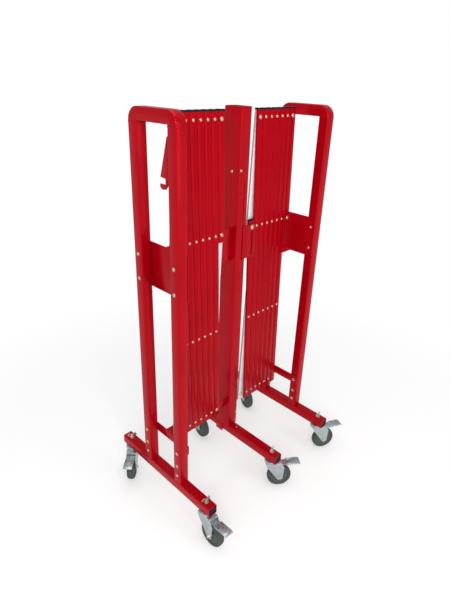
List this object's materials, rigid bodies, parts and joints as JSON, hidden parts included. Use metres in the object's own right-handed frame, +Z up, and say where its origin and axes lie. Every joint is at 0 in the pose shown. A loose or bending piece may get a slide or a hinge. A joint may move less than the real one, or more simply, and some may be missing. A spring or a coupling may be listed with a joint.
{
  "type": "folding lattice barrier",
  "caption": "Mobile scissor-lattice barrier stored folded: red hoop end frames and a centre post on caster feet, joined by crossed red and silver slats.",
  "frame": {"origin": "on the floor under the middle of the whole box", "axes": "+Z up; the barrier opens along X; -Y is the side with the guide plates, the front"},
  "size_m": [0.8952, 0.6062, 1.46],
  "materials": {
    "red_frame": "glossy red powder coat",
    "red_slat": "glossy red powder coat on flat bar",
    "silver_slat": "satin mill aluminium",
    "zinc": "zinc-plated pressed steel",
    "wheel_rubber": "dark grey-green moulded rubber"
  },
  "bodies": {
    "post": {"centre_foot": "red_frame", "centre_post": "red_frame", "post_left_guide": "red_frame", "post_right_guide": "red_frame"},
    "left_frame": {"left_foot": "red_frame", "left_hoop": "red_frame", "left_mid_plate": "red_frame", "left_lower_rail": "red_frame"},
    "right_frame": {"right_foot": "red_frame", "right_hoop": "red_frame", "right_mid_plate": "red_frame", "right_lower_rail": "red_frame"},
    "left_front_slat_00_02": {"left_front_slat_00_02": "red_slat"},
    "left_front_slat_01_04": {"left_front_slat_01_04": "red_slat"},
    "left_front_slat_03_06": {"left_front_slat_03_06": "red_slat"},
    "left_front_slat_05_08": {"left_front_slat_05_08": "red_slat"},
    "left_front_slat_07_10": {"left_front_slat_07_10": "red_slat"},
    "left_front_slat_09_12": {"left_front_slat_09_12": "red_slat"},
    "left_front_slat_11_14": {"left_front_slat_11_14": "red_slat"},
    "left_front_slat_13_14": {"left_front_slat_13_14": "red_slat"},
    "left_back_slat_01_00": {"left_back_slat_01_00": "silver_slat"},
    "left_back_slat_03_00": {"left_back_slat_03_00": "silver_slat"},
    "left_back_slat_05_02": {"left_back_slat_05_02": "silver_slat"},
    "left_back_slat_07_04": {"left_back_slat_07_04": "silver_slat"},
    "left_back_slat_09_06": {"left_back_slat_09_06": "silver_slat"},
    "left_back_slat_11_08": {"left_back_slat_11_08": "silver_slat"},
    "left_back_slat_13_10": {"left_back_slat_13_10": "silver_slat"},
    "left_back_slat_14_12": {"left_back_slat_14_12": "silver_slat"},
    "right_front_slat_00_02": {"right_front_slat_00_02": "red_slat"},
    "right_front_slat_01_04": {"right_front_slat_01_04": "red_slat"},
    "right_front_slat_03_06": {"right_front_slat_03_06": "red_slat"},
    "right_front_slat_05_08": {"right_front_slat_05_08": "red_slat"},
    "right_front_slat_07_10": {"right_front_slat_07_10": "red_slat"},
    "right_front_slat_09_12": {"right_front_slat_09_12": "red_slat"},
    "right_front_slat_11_14": {"right_front_slat_11_14": "red_slat"},
    "right_front_slat_13_14": {"right_front_slat_13_14": "red_slat"},
    "right_back_slat_01_00": {"right_back_slat_01_00": "silver_slat"},
    "right_back_slat_03_00": {"right_back_slat_03_00": "silver_slat"},
    "right_back_slat_05_02": {"right_back_slat_05_02": "silver_slat"},
    "right_back_slat_07_04": {"right_back_slat_07_04": "silver_slat"},
    "right_back_slat_09_06": {"right_back_slat_09_06": "silver_slat"},
    "right_back_slat_11_08": {"right_back_slat_11_08": "silver_slat"},
    "right_back_slat_13_10": {"right_back_slat_13_10": "silver_slat"},
    "right_back_slat_14_12": {"right_back_slat_14_12": "silver_slat"},
    "left_front_swivel": {"left_front_fork": "zinc"},
    "left_front_wheel": {"left_front_wheel": "wheel_rubber"},
    "left_front_brake": {"left_front_brake_pedal": "zinc"},
    "left_rear_swivel": {"left_rear_fork": "zinc"},
    "left_rear_wheel": {"left_rear_wheel": "wheel_rubber"},
    "left_rear_brake": {"left_rear_brake_pedal": "zinc"},
    "centre_front_swivel": {"centre_front_fork": "zinc"},
    "centre_front_wheel": {"centre_front_wheel": "wheel_rubber"},
    "centre_front_brake": {"centre_front_brake_pedal": "zinc"},
    "centre_rear_swivel": {"centre_rear_fork": "zinc"},
    "centre_rear_wheel": {"centre_rear_wheel": "wheel_rubber"},
    "right_front_swivel": {"right_front_fork": "zinc"},
    "right_front_wheel": {"right_front_wheel": "wheel_rubber"},
    "right_front_brake": {"right_front_brake_pedal": "zinc"},
    "right_rear_swivel": {"right_rear_fork": "zinc"},
    "right_rear_wheel": {"right_rear_wheel": "wheel_rubber"}
  },
  "joints": [
    {"name": "left_pack_opens", "type": "hinge", "parent": "post", "child": "left_front_slat_11_14", "pos_m": [-0.08299, 0.05175, 0.3055], "axis": [0, -1, 0], "range_deg": [0, 28]},
    {"name": "left_back_slat_14_12_turn", "type": "hinge", "parent": "left_front_slat_11_14", "child": "left_back_slat_14_12", "pos_m": [-0.09751, 0.05175, 0.6777], "axis": [0, 1, 0], "range_deg": [0, 56]},
    {"name": "left_back_slat_13_10_turn", "type": "hinge", "parent": "left_front_slat_11_14", "child": "left_back_slat_13_10", "pos_m": [-0.11203, 0.05175, 1.0499], "axis": [0, 1, 0], "range_deg": [0, 56]},
    {"name": "left_back_slat_11_08_turn", "type": "hinge", "parent": "left_front_slat_11_14", "child": "left_back_slat_11_08", "pos_m": [-0.12655, 0.05175, 1.4221], "axis": [0, 1, 0], "range_deg": [0, 56]},
    {"name": "left_front_slat_13_14_turn", "type": "hinge", "parent": "left_back_slat_14_12", "child": "left_front_slat_13_14", "pos_m": [-0.08299, 0.05175, 1.0499], "axis": [0, 1, 0], "range_deg": [-56, 0]},
    {"name": "left_front_slat_09_12_turn", "type": "hinge", "parent": "left_back_slat_14_12", "child": "left_front_slat_09_12", "pos_m": [-0.11203, 0.05175, 0.3055], "axis": [0, 1, 0], "range_deg": [-56, 0]},
    {"name": "left_front_slat_07_10_turn", "type": "hinge", "parent": "left_back_slat_13_10", "child": "left_front_slat_07_10", "pos_m": [-0.14107, 0.05175, 0.3055], "axis": [0, 1, 0], "range_deg": [-56, 0]},
    {"name": "left_front_slat_05_08_turn", "type": "hinge", "parent": "left_back_slat_11_08", "child": "left_front_slat_05_08", "pos_m": [-0.17011, 0.05175, 0.3055], "axis": [0, 1, 0], "range_deg": [-56, 0]},
    {"name": "left_back_slat_09_06_turn", "type": "hinge", "parent": "left_front_slat_09_12", "child": "left_back_slat_09_06", "pos_m": [-0.15559, 0.05175, 1.4221], "axis": [0, 1, 0], "range_deg": [0, 56]},
    {"name": "left_back_slat_07_04_turn", "type": "hinge", "parent": "left_front_slat_07_10", "child": "left_back_slat_07_04", "pos_m": [-0.18463, 0.05175, 1.4221], "axis": [0, 1, 0], "range_deg": [0, 56]},
    {"name": "left_back_slat_05_02_turn", "type": "hinge", "parent": "left_front_slat_05_08", "child": "left_back_slat_05_02", "pos_m": [-0.21367, 0.05175, 1.4221], "axis": [0, 1, 0], "range_deg": [0, 56]},
    {"name": "left_front_slat_03_06_turn", "type": "hinge", "parent": "left_back_slat_09_06", "child": "left_front_slat_03_06", "pos_m": [-0.19915, 0.05175, 0.3055], "axis": [0, 1, 0], "range_deg": [-56, 0]},
    {"name": "left_front_slat_01_04_turn", "type": "hinge", "parent": "left_back_slat_07_04", "child": "left_front_slat_01_04", "pos_m": [-0.22819, 0.05175, 0.3055], "axis": [0, 1, 0], "range_deg": [-56, 0]},
    {"name": "left_front_slat_00_02_turn", "type": "hinge", "parent": "left_back_slat_05_02", "child": "left_front_slat_00_02", "pos_m": [-0.25723, 0.05175, 0.3055], "axis": [0, 1, 0], "range_deg": [-56, 0]},
    {"name": "left_back_slat_03_00_turn", "type": "hinge", "parent": "left_front_slat_03_06", "child": "left_back_slat_03_00", "pos_m": [-0.24271, 0.05175, 1.4221], "axis": [0, 1, 0], "range_deg": [0, 56]},
    {"name": "left_back_slat_01_00_turn", "type": "hinge", "parent": "left_front_slat_01_04", "child": "left_back_slat_01_00", "pos_m": [-0.27175, 0.05175, 1.4221], "axis": [0, 1, 0], "range_deg": [0, 56]},
    {"name": "left_frame_stays_upright", "type": "hinge", "parent": "left_back_slat_03_00", "child": "left_frame", "pos_m": [-0.28627, 0.05175, 0.3055], "axis": [0, 1, 0], "range_deg": [-28, 0]},
    {"name": "right_pack_opens", "type": "hinge", "parent": "post", "child": "right_back_slat_03_00", "pos_m": [0.06741, 0.05175, 0.3055], "axis": [0, 1, 0], "range_deg": [0, 28]},
    {"name": "right_front_slat_00_02_turn", "type": "hinge", "parent": "right_back_slat_03_00", "child": "right_front_slat_00_02", "pos_m": [0.08193, 0.05175, 0.6777], "axis": [0, 1, 0], "range_deg": [-56, 0]},
    {"name": "right_front_slat_01_04_turn", "type": "hinge", "parent": "right_back_slat_03_00", "child": "right_front_slat_01_04", "pos_m": [0.09645, 0.05175, 1.0499], "axis": [0, 1, 0], "range_deg": [-56, 0]},
    {"name": "right_front_slat_03_06_turn", "type": "hinge", "parent": "right_back_slat_03_00", "child": "right_front_slat_03_06", "pos_m": [0.11097, 0.05175, 1.4221], "axis": [0, 1, 0], "range_deg": [-56, 0]},
    {"name": "right_back_slat_01_00_turn", "type": "hinge", "parent": "right_front_slat_00_02", "child": "right_back_slat_01_00", "pos_m": [0.06741, 0.05175, 1.0499], "axis": [0, 1, 0], "range_deg": [0, 56]},
    {"name": "right_back_slat_05_02_turn", "type": "hinge", "parent": "right_front_slat_00_02", "child": "right_back_slat_05_02", "pos_m": [0.09645, 0.05175, 0.3055], "axis": [0, 1, 0], "range_deg": [0, 56]},
    {"name": "right_back_slat_07_04_turn", "type": "hinge", "parent": "right_front_slat_01_04", "child": "right_back_slat_07_04", "pos_m": [0.12549, 0.05175, 0.3055], "axis": [0, 1, 0], "range_deg": [0, 56]},
    {"name": "right_back_slat_09_06_turn", "type": "hinge", "parent": "right_front_slat_03_06", "child": "right_back_slat_09_06", "pos_m": [0.15453, 0.05175, 0.3055], "axis": [0, 1, 0], "range_deg": [0, 56]},
    {"name": "right_front_slat_05_08_turn", "type": "hinge", "parent": "right_back_slat_05_02", "child": "right_front_slat_05_08", "pos_m": [0.14001, 0.05175, 1.4221], "axis": [0, 1, 0], "range_deg": [-56, 0]},
    {"name": "right_front_slat_07_10_turn", "type": "hinge", "parent": "right_back_slat_07_04", "child": "right_front_slat_07_10", "pos_m": [0.16905, 0.05175, 1.4221], "axis": [0, 1, 0], "range_deg": [-56, 0]},
    {"name": "right_front_slat_09_12_turn", "type": "hinge", "parent": "right_back_slat_09_06", "child": "right_front_slat_09_12", "pos_m": [0.19809, 0.05175, 1.4221], "axis": [0, 1, 0], "range_deg": [-56, 0]},
    {"name": "right_back_slat_11_08_turn", "type": "hinge", "parent": "right_front_slat_05_08", "child": "right_back_slat_11_08", "pos_m": [0.18357, 0.05175, 0.3055], "axis": [0, 1, 0], "range_deg": [0, 56]},
    {"name": "right_back_slat_13_10_turn", "type": "hinge", "parent": "right_front_slat_07_10", "child": "right_back_slat_13_10", "pos_m": [0.21261, 0.05175, 0.3055], "axis": [0, 1, 0], "range_deg": [0, 56]},
    {"name": "right_back_slat_14_12_turn", "type": "hinge", "parent": "right_front_slat_09_12", "child": "right_back_slat_14_12", "pos_m": [0.24165, 0.05175, 0.3055], "axis": [0, 1, 0], "range_deg": [0, 56]},
    {"name": "right_front_slat_11_14_turn", "type": "hinge", "parent": "right_back_slat_11_08", "child": "right_front_slat_11_14", "pos_m": [0.22713, 0.05175, 1.4221], "axis": [0, 1, 0], "range_deg": [-56, 0]},
    {"name": "right_front_slat_13_14_turn", "type": "hinge", "parent": "right_back_slat_13_10", "child": "right_front_slat_13_14", "pos_m": [0.25617, 0.05175, 1.4221], "axis": [0, 1, 0], "range_deg": [-56, 0]},
    {"name": "right_frame_stays_upright", "type": "hinge", "parent": "right_front_slat_11_14", "child": "right_frame", "pos_m": [0.27069, 0.05175, 0.3055], "axis": [0, 1, 0], "range_deg": [0, 28]},
    {"name": "left_front_caster_swivels", "type": "hinge", "parent": "left_frame", "child": "left_front_swivel", "pos_m": [-0.34879, -0.18285, 0.137], "axis": [0, 0, 1], "continuous": true},
    {"name": "left_front_wheel_spins", "type": "hinge", "parent": "left_front_swivel", "child": "left_front_wheel", "pos_m": [-0.34945, -0.22085, 0.05], "axis": [0.9998, -0.0175, 0], "continuous": true},
    {"name": "left_front_brake_lifts", "type": "hinge", "parent": "left_front_swivel", "child": "left_front_brake", "pos_m": [-0.34942, -0.21885, 0.108], "axis": [0.9998, -0.0175, 0], "range_deg": [-10, 0]},
    {"name": "left_rear_caster_swivels", "type": "hinge", "parent": "left_frame", "child": "left_rear_swivel", "pos_m": [-0.34879, 0.26915, 0.137], "axis": [0, 0, 1], "continuous": true},
    {"name": "left_rear_wheel_spins", "type": "hinge", "parent": "left_rear_swivel", "child": "left_rear_wheel", "pos_m": [-0.37612, 0.24275, 0.05], "axis": [0.6947, -0.7193, 0], "continuous": true},
    {"name": "left_rear_brake_lifts", "type": "hinge", "parent": "left_rear_swivel", "child": "left_rear_brake", "pos_m": [-0.37469, 0.24414, 0.108], "axis": [0.6947, -0.7193, 0], "range_deg": [-10, 0]},
    {"name": "centre_front_caster_swivels", "type": "hinge", "parent": "post", "child": "centre_front_swivel", "pos_m": [0.01321, -0.18285, 0.137], "axis": [0, 0, 1], "continuous": true},
    {"name": "centre_front_wheel_spins", "type": "hinge", "parent": "centre_front_swivel", "child": "centre_front_wheel", "pos_m": [0.04315, -0.20625, 0.05], "axis": [0.6157, 0.788, 0], "continuous": true},
    {"name": "centre_front_brake_lifts", "type": "hinge", "parent": "centre_front_swivel", "child": "centre_front_brake", "pos_m": [0.04158, -0.20502, 0.108], "axis": [0.6157, 0.788, 0], "range_deg": [-10, 0]},
    {"name": "centre_rear_caster_swivels", "type": "hinge", "parent": "post", "child": "centre_rear_swivel", "pos_m": [0.01321, 0.26915, 0.137], "axis": [0, 0, 1], "continuous": true},
    {"name": "centre_rear_wheel_spins", "type": "hinge", "parent": "centre_rear_swivel", "child": "centre_rear_wheel", "pos_m": [0.00661, 0.23172, 0.05], "axis": [0.9848, -0.1736, 0], "continuous": true},
    {"name": "right_front_caster_swivels", "type": "hinge", "parent": "right_frame", "child": "right_front_swivel", "pos_m": [0.33321, -0.18285, 0.137], "axis": [0, 0, 1], "continuous": true},
    {"name": "right_front_wheel_spins", "type": "hinge", "parent": "right_front_swivel", "child": "right_front_wheel", "pos_m": [0.36676, -0.20069, 0.05], "axis": [0.4695, 0.8829, 0], "continuous": true},
    {"name": "right_front_brake_lifts", "type": "hinge", "parent": "right_front_swivel", "child": "right_front_brake", "pos_m": [0.365, -0.19975, 0.108], "axis": [0.4695, 0.8829, 0], "range_deg": [-10, 0]},
    {"name": "right_rear_caster_swivels", "type": "hinge", "parent": "right_frame", "child": "right_rear_swivel", "pos_m": [0.33321, 0.26915, 0.137], "axis": [0, 0, 1], "continuous": true},
    {"name": "right_rear_wheel_spins", "type": "hinge", "parent": "right_rear_swivel", "child": "right_rear_wheel", "pos_m": [0.32021, 0.23344, 0.05], "axis": [0.9397, -0.342, 0], "continuous": true}
  ],
  "couplings": [
    {"joint": "left_back_slat_14_12_turn", "follows": "left_pack_opens", "ratio": 2},
    {"joint": "left_back_slat_13_10_turn", "follows": "left_pack_opens", "ratio": 2},
    {"joint": "left_back_slat_11_08_turn", "follows": "left_pack_opens", "ratio": 2},
    {"joint": "left_front_slat_13_14_turn", "follows": "left_pack_opens", "ratio": -2},
    {"joint": "left_front_slat_09_12_turn", "follows": "left_pack_opens", "ratio": -2},
    {"joint": "left_front_slat_07_10_turn", "follows": "left_pack_opens", "ratio": -2},
    {"joint": "left_front_slat_05_08_turn", "follows": "left_pack_opens", "ratio": -2},
    {"joint": "left_back_slat_09_06_turn", "follows": "left_pack_opens", "ratio": 2},
    {"joint": "left_back_slat_07_04_turn", "follows": "left_pack_opens", "ratio": 2},
    {"joint": "left_back_slat_05_02_turn", "follows": "left_pack_opens", "ratio": 2},
    {"joint": "left_front_slat_03_06_turn", "follows": "left_pack_opens", "ratio": -2},
    {"joint": "left_front_slat_01_04_turn", "follows": "left_pack_opens", "ratio": -2},
    {"joint": "left_front_slat_00_02_turn", "follows": "left_pack_opens", "ratio": -2},
    {"joint": "left_back_slat_03_00_turn", "follows": "left_pack_opens", "ratio": 2},
    {"joint": "left_back_slat_01_00_turn", "follows": "left_pack_opens", "ratio": 2},
    {"joint": "left_frame_stays_upright", "follows": "left_pack_opens", "ratio": -1},
    {"joint": "right_front_slat_00_02_turn", "follows": "right_pack_opens", "ratio": -2},
    {"joint": "right_front_slat_01_04_turn", "follows": "right_pack_opens", "ratio": -2},
    {"joint": "right_front_slat_03_06_turn", "follows": "right_pack_opens", "ratio": -2},
    {"joint": "right_back_slat_01_00_turn", "follows": "right_pack_opens", "ratio": 2},
    {"joint": "right_back_slat_05_02_turn", "follows": "right_pack_opens", "ratio": 2},
    {"joint": "right_back_slat_07_04_turn", "follows": "right_pack_opens", "ratio": 2},
    {"joint": "right_back_slat_09_06_turn", "follows": "right_pack_opens", "ratio": 2},
    {"joint": "right_front_slat_05_08_turn", "follows": "right_pack_opens", "ratio": -2},
    {"joint": "right_front_slat_07_10_turn", "follows": "right_pack_opens", "ratio": -2},
    {"joint": "right_front_slat_09_12_turn", "follows": "right_pack_opens", "ratio": -2},
    {"joint": "right_back_slat_11_08_turn", "follows": "right_pack_opens", "ratio": 2},
    {"joint": "right_back_slat_13_10_turn", "follows": "right_pack_opens", "ratio": 2},
    {"joint": "right_back_slat_14_12_turn", "follows": "right_pack_opens", "ratio": 2},
    {"joint": "right_front_slat_11_14_turn", "follows": "right_pack_opens", "ratio": -2},
    {"joint": "right_front_slat_13_14_turn", "follows": "right_pack_opens", "ratio": -2},
    {"joint": "right_frame_stays_upright", "follows": "right_pack_opens", "ratio": 1}
  ]
}
